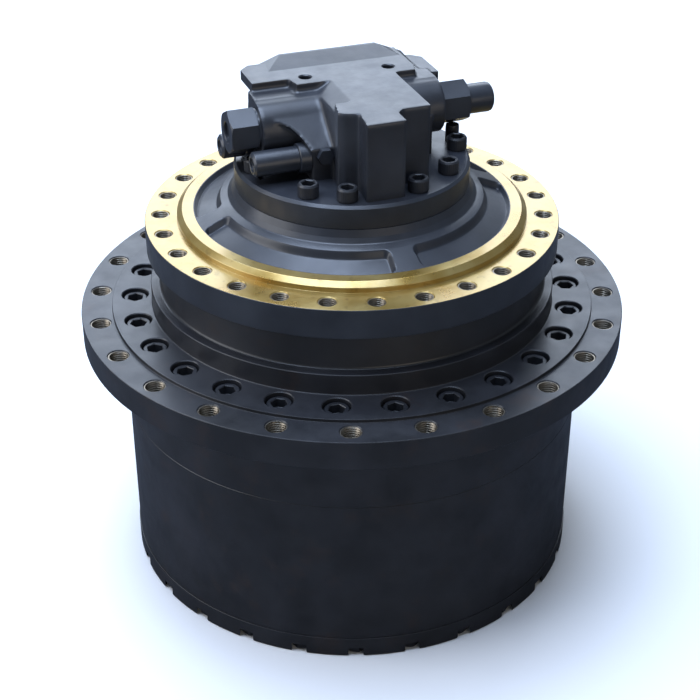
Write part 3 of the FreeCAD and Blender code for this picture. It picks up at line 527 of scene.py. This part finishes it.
casing = finished(casing, "casing", [casting_paint, machined_paint, gold_face],
                  ["motor_casing"])
finish_where(casing, 1, lambda r, z, n: z < 3 and r > 200)
finish_where(casing, 2, lambda r, z, n: (192 < r < 215 and -0.5 < z < 12) or (r < 249 and abs(z) < 1.3))

# %% [markdown]
# The drum's upper casting, the hub: a neck that runs under the frame flange, a ring of deep
# counterbored screws, a low register for the sprocket and the tapped sprocket flange.

# %% Hub
hub_bolts, hub_bolt_circle, hub_bolt_first = 26, 269.4, 149.5
sprocket_bolts, sprocket_bolt_circle, sprocket_first = 24, 313.4, 144.8
neck_top, bolt_face, sprocket_face, sprocket_back = hub_high[2], -109.0, -113.3, -148.9
flange_r, drum_r = hub_high[0], gear_high[0]
hub_foot = hub_low[2]
hub_profile = softened([
    (225.0, neck_top, 1.0), (229.0, neck_top, 1.0), (236.0, -83.0, 4.0), (248.0, -83.0, 1.8),
    (248.0, bolt_face, 2.0), (296.8, bolt_face, 0.8), (296.8, sprocket_face, 1.0),
    (flange_r, sprocket_face, 1.4), (flange_r, sprocket_back, 1.8), (drum_r, sprocket_back, 8.0),
    (drum_r, hub_foot, 0.8), (250.3, hub_foot, 1.0), (250.3, -210.0, 2.0), (205.0, -210.0, 1.0),
    (205.0, -97.0, 1.0), (211.0, -97.0, 1.0), (214.0, -83.0, 0.8), (225.0, -83.0, 1.0)])
hub = spin("hub", hub_profile, even(360))
hub_places = round_circle(hub_bolt_circle, hub_bolts, hub_bolt_first, bolt_face)
sprocket_places = round_circle(sprocket_bolt_circle, sprocket_bolts, sprocket_first, sprocket_face)
carve(hub, copies("counterbores", spin("tool", [
    (0, 2), (17.7, 2), (17.25, 0), (16.25, -1.0), (16.25, -24), (11, -24), (11, -130), (0, -130)],
    even(48)), hub_places))
carve(hub, copies("sprocket holes", spin("tool", [
    (0, 2), (13.5, 2), (13.2, 0), (12.2, -1.2), (12.2, -34.4), (13.2, -35.7), (13.2, -38), (0, -38)],
    even(40)), sprocket_places))
hub = finished(hub, "drum", [drum_paint], ["hub"])

# %% [markdown]
# The ring gear is the drum's lower wall: smooth outside, toothed inside. Its teeth mesh with
# both planetary stages, so the inner outline is the gear's real tooth form.

# %% Ring gear
ring_teeth, module = 69, 7.0


def ring_tooth(angle):
    """Radius of the toothed bore at this angle, with straight flanks."""
    pitch = 2 * math.pi / ring_teeth
    phase = abs(((angle / pitch) % 1.0) - 0.5) * 2
    t = min(max((phase - 0.3) / 0.4, 0.0), 1.0)
    return module * ring_teeth / 2 + (1.25 * module) * (1 - t) - module * t


ring_low, ring_high = gear_low[2], gear_high[2]
teeth_turns = even(ring_teeth * 10)
gear_outer = softened([(drum_r, ring_low, 0), (drum_r, ring_high, 0)], closed=False)
gear = spin("ring_gear", [
    lambda a: (ring_tooth(a) + 0.4, ring_low), (drum_r - 0.6, ring_low), (drum_r, ring_low + 0.6),
    (drum_r, ring_high - 0.6), (drum_r - 0.6, ring_high), lambda a: (ring_tooth(a) + 0.4, ring_high),
], teeth_turns)
gear = finished(gear, "drum", [drum_paint, ground_steel], ["ring_gear"])
finish_where(gear, 1, lambda r, z, n: r < 252)

# %% [markdown]
# The end cover closes the drum. Its rim is scalloped by the spot faces of 26 screws, which is
# what makes the drum's lower edge look notched from the side.

# %% End cover
cover_bolts, cover_bolt_first = 26, 251.0
cover_foot, cover_top, cover_r = cover_low[2], cover_high[2], cover_high[0]
cover_places = round_circle(hub_bolt_circle, cover_bolts, cover_bolt_first, cover_foot)
end_cover = spin("end_cover", [(0, cover_foot)] + softened([
    (120.0, cover_foot, 0), (cover_r, cover_foot, 3.0), (cover_r, cover_top, 0.8),
    (240.3, cover_top, 1.0), (232.3, cover_top - 6, 2.0), (120.0, cover_top - 6, 0)], closed=False)
    + [(0, cover_top - 6)], even(360))
carve(end_cover, copies("spot faces", spin("tool", [
    (0, -2), (20.0, -2), (20.0, 0), (19.0, 1.0), (19.0, 12.5), (0, 12.5)], even(64)), cover_places))
carve(end_cover, copies("cover holes", spin("tool", [
    (0, 12), (9, 12), (9, 40), (0, 40)], even(32)), cover_places))
plug_places = round_circle(190.0, 3, 90.0, cover_foot)
plug_places = [(190.0 * math.cos(a), 190.0 * math.sin(a), cover_foot)
               for a in (math.pi / 2, math.pi, 3 * math.pi / 2)]
carve(end_cover, copies("plug holes", spin("tool", [
    (0, -2), (15, -2), (15, 40), (0, 40)], even(40)), plug_places))
end_cover = finished(end_cover, "drum", [drum_paint], ["end_cover"])

# %% [markdown]
# The motor's rear cover and valve block are one iron casting. Sand castings have no sharp
# corners, so its masses are first put together as plain prisms and cylinders, then turned into
# one skin by a voxel remesh and smoothed, which rounds every edge and fills every inner corner
# by about the radius a foundry would use. Machining comes after, so faces and bores are crisp.

# %% Valve block casting
spool_y, spool_z, barrel_r, barrel_right = 9.0, 118.0, 33.0, 110.0
flange_top, deck_top = 70.0, 162.0
voxel = 2.0


def hull(name, points):
    """Smallest convex solid round the points."""
    mesh = bpy.data.meshes.new(name)
    shape = bmesh.new()
    for point in points:
        shape.verts.new(Vector(point) * MM)
    bmesh.ops.convex_hull(shape, input=shape.verts)
    bmesh.ops.dissolve_limit(shape, angle_limit=0.01, verts=shape.verts, edges=shape.edges)
    shape.to_mesh(mesh)
    shape.free()
    obj = bpy.data.objects.new(name, mesh)
    bpy.context.collection.objects.link(obj)
    return obj


def cylinder_x(name, radius, low, high, y, z, segments=64):
    obj = spin(name, [(0, low), (radius, low), (radius, high), (0, high)], even(segments))
    moved(obj, turn=(90, "Y"))
    return moved(obj, (0, y, z))


tower = prism("tower", [(-29, -127), (18, -127), (18, -103), (26, -95), (60, -95), (60, 104), (-41, 104),
                        (-41, -54), (-46.5, -81), (-40.5, -87), (-25, -92)], 60, deck_top)
# The ledge beside the tower's top is a long wedge taken off its left edge.
ledge = hull("ledge", [(x, y, z) for y in (-54, 16) for x, z in ((-20, 162), (-20, 172), (-60, 172), (-60, 140))])
carve(tower, ledge)
# The web under the barrel flares up to it, and is hollow over the front relief valve.
flare = prism("flare", [(-52, 60), (31, 60), (31, 118), (-8, 146), (-52, 108)], -100, -40, "x")
hollow = spin("hollow", [(0, -60), (41.5, -60), (41.5, 60), (0, 60)], even(96))
carve(flare, moved(moved(hollow, turn=(90, "X")), (-108.5, 0, 93.5)))
carve(flare, hull("under", [(x, y, z) for x in (-110, -67) for y in (-60, 40) for z in (50, 93.5)]))
masses = [
    tower, flare,
    prism("back", [(-96, 30), (100, 30), (100, 90), (86, 104), (-82, 104), (-96, 90)], 60, 152),
    prism("right web", [(-26, 60), (31, 60), (31, 118), (-26, 118)], 59, 92, "x"),
    prism("deck", [(-110, 36), (-66, 36), (-62, 16), (86, 16), (90, 29), (90, 97), (-97, 97), (-110, 84)],
          149, deck_top),
    prism("wing", [(88, 29), (122, 29), (122, 84), (109, 97), (88, 97)], 138, 150),
    prism("saddle", [(-115, spool_y), (barrel_right, spool_y), (barrel_right, 40), (-115, 40)], 118, 152),
    cylinder_x("barrel", barrel_r, -116, barrel_right + 1, spool_y, spool_z, 96),
    spin("foot post", [(0, 60), (8.5, 60), (8.5, 92), (0, 92)], even(32)),
    cylinder_x("boss", 20, -116, -90, 40, 88),
]
moved(masses[-2], (130, 2, 0))
block = merged("rear_cover", masses)
remesh = block.modifiers.new("one skin", "REMESH")
remesh.mode = "VOXEL"
remesh.voxel_size = voxel * MM
remesh.adaptivity = 0.0
smooth = block.modifiers.new("cast edges", "SMOOTH")
smooth.factor = 0.5
smooth.iterations = 6
bpy.context.view_layer.update()
baked(block)
print("casting skin", len(block.data.polygons), "faces")

# %% [markdown]
# The round cover flange is turned, so it is made as a turned shape and joined to the casting.
# The hood along the back and the faces that carry plugs and screws are cut afterwards.

# %% Machining the valve block
flange = spin("flange", softened([
    (45.0, 42.0, 0.5), (seat_r, 42.0, 1.2), (seat_r, flange_top - 3.2, 0.6),
    (seat_r - 3.2, flange_top, 0.6), (60.0, flange_top, 0.5), (45.0, 66.0, 0.5)]),
    even(240))
carve(block, flange, "UNION")
hood = hull("hood", [(x, y, 150) for x in (-97, 103) for y in (64, 104)]
            + [(-80, 66, deck_top), (86, 66, deck_top), (-96, 104, 154), (102, 104, 153.5)]
            + [(x, y, 168.5) for x in (-56, 66) for y in (97, 104)])
bevel = hood.modifiers.new("hood edges", "BEVEL")
bevel.width = 2.5 * MM
bevel.segments = 3
baked(hood)
carve(block, hood, "UNION")


def bore_x(name, rows, x, y, z, out):
    """Turned tool along X. Rows are (radius, depth into the metal); out is +1 for a right face."""
    obj = spin(name, [(r, -out * d) for r, d in rows], even(48))
    moved(obj, turn=(90, "Y"))
    return moved(obj, (x, y, z))


carve(block, bore_x("left face", [(0, -8), (60, -8), (60, 0), (0, 0)], -115, spool_y, spool_z, -1))
carve(block, bore_x("right face", [(0, -8), (34, -8), (34, 0), (0, 0)], barrel_right, spool_y, spool_z, 1))
for x, out in ((-115, -1), (barrel_right, 1)):
    carve(block, bore_x("bore", [(0, -2), (21.5, -2), (21.2, 0), (20, 1.2), (20, 16), (14.1, 18),
                                 (14.1, 122), (0, 122)], x, spool_y, spool_z, out))
for x, y in ((-45, 36), (59, 36)):
    hole = drill("lifting hole", 7.0, 24.0, 1.4)
    carve(block, moved(hole, (x, y, deck_top)))
rear_bolts = [(121, a) for a in (45, 90, 135, 180, 226, 247.6, 288.5, 318)] + [(128, -9.5)]
rear_places = [(r * math.cos(math.radians(a)), r * math.sin(math.radians(a)), flange_top)
               for r, a in rear_bolts]
carve(block, copies("rear bolt pockets", spin("tool", [
    (0, 40), (14.7, 40), (14.7, 0), (9.0, 0), (9.0, -30), (0, -30)], even(40)), rear_places))
for port_x in (-45, 45):
    for dx, dz, radius, depth in ((0, 0, 12.5, 34.0), (-13.88, -28.57, 5.1, 18.0), (13.88, -28.57, 5.1, 18.0),
                                  (-13.88, 28.57, 5.1, 18.0), (13.88, 28.57, 5.1, 18.0)):
        hole = moved(drill("port", radius, depth, 0.8), turn=(-90, "X"))
        carve(block, moved(hole, (port_x + dx, 104.0, 112.0 + dz)))
block = finished(block, "casing", [casting_paint, machined_paint], ["rear_cover"], 38.0)
finish_where(block, 1, lambda r, z, n: r > 137 and z < 71)

# %% [markdown]
# Plugs and valves screwed into the block. A hexagon head is a turned blank whose corners were
# cut flat, so each ring's radius is the smaller of the hexagon's and the turned chamfer's.

# %% Plugs, cap and valves
def hexagon(flats, turn=0.0):
    """Radius of a hexagon at an angle."""
    def radius(angle):
        return flats / 2 / math.cos((angle + turn) % (math.pi / 3) - math.pi / 6)
    return radius


def hex_rows(flats, low, high, chamfer_low=True, chamfer_high=True):
    """Rings of a hexagon prism whose ends are chamfered round."""
    shape = hexagon(flats)
    round_r = flats / 2 * 1.02
    drop = flats * 0.07
    rows = []
    if chamfer_low:
        rows.append(lambda a: (min(shape(a), round_r), low))
        rows.append(lambda a: (shape(a), low + (shape(a) - flats / 2) * 0.5))
    else:
        rows.append(lambda a: (shape(a), low))
    if chamfer_high:
        rows.append(lambda a: (shape(a), high - (shape(a) - flats / 2) * 0.5))
        rows.append(lambda a: (min(shape(a), round_r), high))
    else:
        rows.append(lambda a: (shape(a), high))
    return rows


def along_x(name, rows, x, y, z, out):
    """Turned piece whose height runs along +X or -X from x."""
    obj = spin(name, rows, even(72))
    moved(obj, turn=(90 if out > 0 else -90, "Y"))
    return moved(obj, (x, y, z))


left_plug = along_x("left_spool_plug", [(0, -16), (20, -16), (20, 0), (24, 0.0)] + hex_rows(46, 1.5, 35)
                    + [(13, 35), (12.2, 34), (12.0, 31), (0, 31)], -115, spool_y, spool_z, -1)
left_plug = finished(left_plug, "casing", [machined_paint], ["left_spool_plug"], 25.0)
right_cap = along_x("right_spool_cap", [(0, -16), (20, -16), (20, 0)] + hex_rows(46, 0.5, 37)
                    + [(18, 37.4), (18, 66), (17.2, 69), (15, 70.6), (8, 71), (0, 71)],
                    barrel_right, spool_y, spool_z, 1)
right_cap = finished(right_cap, "casing", [machined_paint], ["right_spool_cap"], 25.0)


def cartridge(collar, length):
    """Rings of a relief valve: collar, body, chamfered end and the setting screw's socket."""
    socket = hexagon(8)
    end = collar + length
    return [(0, 0), (17.5, 0), (17.5, collar - 0.8), (16.7, collar), (14.5, collar + 0.4), (14.5, end - 3),
            (14.2, end - 2.2), (11.4, end), (8.5, end), (8.0, end - 0.5), (8.0, end - 2),
            lambda a: (socket(a) + 0.4, end - 2), lambda a: (socket(a), end - 2.5),
            lambda a: (socket(a), end - 7), (0, end - 7)]


front_valve = along_x("front_relief_valve", cartridge(13, 54), -67, -35, 93.5, -1)
front_valve = finished(front_valve, "casing", [machined_paint], ["front_relief_valve"], 25.0)
rear_valve = along_x("rear_relief_valve", cartridge(8, 28), -115, 40, 88, -1)
rear_valve = finished(rear_valve, "casing", [machined_paint], ["rear_relief_valve"], 25.0)

# %% [markdown]
# Screws and threads repeat many times. One screw and one thread are modelled, and a Geometry
# Nodes tree puts a copy on each point with its own turn, because a fitter never leaves two
# sockets lined up. The result is turned into a plain mesh, one per body.

# %% Repeated pieces
def cap_screw(name, head_r, head_h, shank_r, shank_length, key, slots=36):
    """Socket cap screw, its head standing on height 0."""
    socket = hexagon(key)
    turns = even(slots * 4)
    knurl = lambda a: 0.25 * (0.5 + 0.5 * math.cos(slots * a))
    return spin(name, [
        (0, -shank_length), (shank_r - 1.5, -shank_length), (shank_r, -shank_length + 1.5), (shank_r, 0),
        (head_r - 1, 0), (head_r - 0.3, 0.8), lambda a: (head_r - knurl(a), 1.5),
        lambda a: (head_r - knurl(a), head_h - 2.4), (head_r - 0.3, head_h - 1.9), (head_r - 1.8, head_h),
        lambda a: (socket(a) + 0.9, head_h), lambda a: (socket(a), head_h - 0.9),
        lambda a: (socket(a), head_h * 0.45), (key * 0.42, head_h * 0.42), (0, head_h * 0.32)], turns)


def hex_screw(name, flats, head_h, shank_r, shank_length):
    """Hexagon screw hanging down, its head's top at height 0 and its shank upwards."""
    return spin(name, [(0, -head_h)] + hex_rows(flats, -head_h, 0, True, False)
                + [(shank_r, 0), (shank_r, shank_length), (0, shank_length)], even(48))


def thread(name, core, nominal, pitch, length, segments=24):
    """Tapped liner: a tube with a helical groove inside, from height 0 down."""
    rows = []
    steps = int(length / pitch * 4)
    for k in range(steps + 1):
        z = -k * pitch / 4
        def ring(a, z=z):
            wave = abs(((z / pitch + a / (2 * math.pi)) % 1.0) - 0.5) * 2
            return core + (nominal - core) * wave, z
        rows.append(ring)
    outer = nominal + 0.25
    return spin(name, [(outer, 0.0)] + rows + [(outer, -length)], even(segments))


def scatter_tree():
    """Geometry Nodes tree: a copy of a part on each point, each with its own turn about Z."""
    tree = bpy.data.node_groups.new("copies on points", "GeometryNodeTree")
    face = tree.interface
    face.new_socket("Geometry", in_out="OUTPUT", socket_type="NodeSocketGeometry")
    for name, kind in (("Points", "Geometry"), ("Part", "Object"), ("Finish", "Material"),
                       ("Turn", "Float"), ("Seed", "Int")):
        face.new_socket(name, in_out="INPUT", socket_type="NodeSocket" + kind)
    start = add(tree, "NodeGroupInput")
    part = add(tree, "GeometryNodeObjectInfo", inputs={"Object": start.outputs["Part"]})
    chance = add(tree, "FunctionNodeRandomValue", {"data_type": "FLOAT"}, {
        "Seed": start.outputs["Seed"]})
    tree.links.new(start.outputs["Turn"], chance.inputs[3])
    turn = add(tree, "ShaderNodeCombineXYZ", inputs={"Z": chance.outputs[1]})
    placed = add(tree, "GeometryNodeInstanceOnPoints", inputs={
        "Points": start.outputs["Points"], "Instance": part.outputs["Geometry"],
        "Rotation": turn.outputs["Vector"]})
    real = add(tree, "GeometryNodeRealizeInstances", inputs={"Geometry": placed.outputs["Instances"]})
    coated = add(tree, "GeometryNodeSetMaterial", inputs={
        "Geometry": real.outputs["Geometry"], "Material": start.outputs["Finish"]})
    add(tree, "NodeGroupOutput", inputs={"Geometry": coated.outputs["Geometry"]})
    return tree


scatter = scatter_tree()


def repeated(name, part, places, finish, body, stands_for=(), seed=1, turn=2 * math.pi):
    """Copies of a part at the places as one piece."""
    mesh = bpy.data.meshes.new(name)
    mesh.from_pydata([tuple(MM * c for c in p) for p in places], [], [])
    obj = bpy.data.objects.new(name, mesh)
    bpy.context.collection.objects.link(obj)
    modifier = obj.modifiers.new("copies", "NODES")
    modifier.node_group = scatter
    keys = {s.name: s.identifier for s in scatter.interface.items_tree if s.in_out == "INPUT"}
    for key, value in (("Part", part), ("Finish", finish), ("Turn", turn), ("Seed", seed)):
        modifier[keys[key]] = value
    bpy.context.view_layer.update()
    baked(obj)
    discard(part)
    return finished(obj, body, [finish], stands_for, 28.0)


seat_z = bolt_face - 24
screw = cap_screw("screw", 15.0, 20.0, 10.0, 138.0, 17.0)
repeated("hub_bolts", screw, [(x, y, seat_z) for x, y, z in hub_places], screw_paint, "drum",
         ["hub_bolts"], 3)
screw = cap_screw("screw", 12.2, 16.0, 8.0, 50.0, 14.0, 30)
repeated("rear_cover_bolts", screw, rear_places, screw_paint, "casing", ["rear_cover_bolts"], 5)
screw = hex_screw("screw", 24.0, 10.0, 8.0, 40.0)
repeated("end_cover_bolts", screw, [(x, y, cover_foot + 12.5) for x, y, z in cover_places],
         screw_paint, "drum", ["end_cover_bolts"], 7)
liner = thread("liner", 8.75, 10.0, 2.5, 30.0)
repeated("frame_threads", liner, [(x, y, -1.0) for x, y, z in frame_places], tapped_steel, "casing", seed=9)
liner = thread("liner", 10.5, 12.0, 3.0, 33.0)
repeated("sprocket_threads", liner, [(x, y, sprocket_face - 1.2) for x, y, z in sprocket_places],
         tapped_steel, "drum", seed=11)

# %% [markdown]
# The pieces inside keep their CAD shape: gears, carriers, bearings, the motor and the brake are
# hidden behind the castings, and only need the finish of what they are made of.

# %% Inner pieces
inner_finish = {"hardened_steel": ground_steel, "cast_carrier": carrier_iron, "bronze": bearing_bronze,
                "lapped_seal_iron": seal_iron, "seal_rubber": seal_rubber,
                "friction_lining": brake_lining, "bolt_paint": screw_paint,
                "casing_paint": machined_paint, "drum_paint": drum_paint}
slots = {part["node"]: part["material_slot"] for part in frame["record"]["subparts"]}
kept = [name for name, node in frame["nodes"].items() if not node.hide_render]
for name in kept:
    node = frame["nodes"][name]
    for slot in node.material_slots:
        slot.material = inner_finish[slots[name]]
print(len(kept), "CAD nodes keep their shape")

# %% [markdown]
# Studio: a pale floor, a large soft light overhead and behind, and a weaker one from the left.
# The paint is semi-gloss, so what the flat tops mirror decides how bright they look: the back
# light is what lifts them from the dark sides.

# %% Floor, light and camera
floor_z = cad_low[2] / MM
floor = linked("floor", [(-6000, -6000, floor_z), (6000, -6000, floor_z), (6000, 6000, floor_z),
                         (-6000, 6000, floor_z)], [(0, 1, 2, 3)])
floor_paint, tree, surface = new_material("pale studio floor, painted dark in reflections")
rays = add(tree, "ShaderNodeLightPath")
surface.inputs["Roughness"].default_value = 0.9
surface.inputs["Specular IOR Level"].default_value = 0.0
# Painted shade: glossy rays see the floor as dark grey-blue 4c5058 instead of its pale f4f4f4, so the paint's
# reflection of the floor, mostly on vertical faces, is painted dark.
floor_with_painted_reflected_shade = blend(tree, rays.outputs["Is Glossy Ray"], "f4f4f4", "4c5058")
tree.links.new(floor_with_painted_reflected_shade, surface.inputs["Base Color"])
floor.data.materials.append(floor_paint)

world = bpy.data.worlds.new("studio")
bpy.context.scene.world = world
world.use_nodes = True
tree = world.node_tree
tree.nodes.clear()
rays = add(tree, "ShaderNodeLightPath")
room = add(tree, "ShaderNodeBackground", inputs={"Color": linear("b9c6d6"), "Strength": 0.30})
white = add(tree, "ShaderNodeBackground", inputs={"Color": (1, 1, 1, 1), "Strength": 1.0})
mix = add(tree, "ShaderNodeMixShader", inputs={0: rays.outputs["Is Camera Ray"],
                                               1: room.outputs[0], 2: white.outputs[0]})
add(tree, "ShaderNodeOutputWorld", inputs={"Surface": mix.outputs[0]})


def soft_light(name, place, aim, size, power, colour):
    """Rectangular soft light aimed at a point; places in metres."""
    light = bpy.data.lights.new(name, "AREA")
    light.shape = "RECTANGLE"
    light.size, light.size_y = size
    light.energy = power
    light.color = linear(colour)[:3]
    obj = bpy.data.objects.new(name, light)
    bpy.context.collection.objects.link(obj)
    obj.location = place
    obj.rotation_euler = (Vector(aim) - Vector(place)).to_track_quat("-Z", "Y").to_euler()
    return obj


turn = Matrix.Rotation(math.radians(-20), 3, "Z")      # studio directions seen from the camera
for name, place, size, power, colour in (
        ("top", (-0.5, -0.1, 3.2), (3.0, 2.6), 220, "c9dcfb"),
        ("back", (-0.3, 3.2, 1.9), (4.0, 2.2), 110, "dbe8fb"),
        ("left", (-3.0, -0.6, 1.2), (2.2, 2.6), 60, "f2f4fa"),
        ("front", (1.6, -3.0, 0.6), (2.5, 1.5), 14, "fff0dc")):
    soft_light(name, turn @ Vector(place), (0, 0, -0.15), size, power, colour)

camera = bpy.data.objects.new("camera", bpy.data.cameras.new("camera"))
bpy.context.collection.objects.link(camera)
camera.location = (-0.5695, -1.5582, 0.799)
camera.rotation_euler = (math.radians(58.96), 0, math.radians(-20))
camera.data.lens = 77.7
camera.data.sensor_width = 36.0
camera.data.clip_start = 0.05
bpy.context.scene.camera = camera
bpy.context.scene.view_settings.view_transform = "Standard"
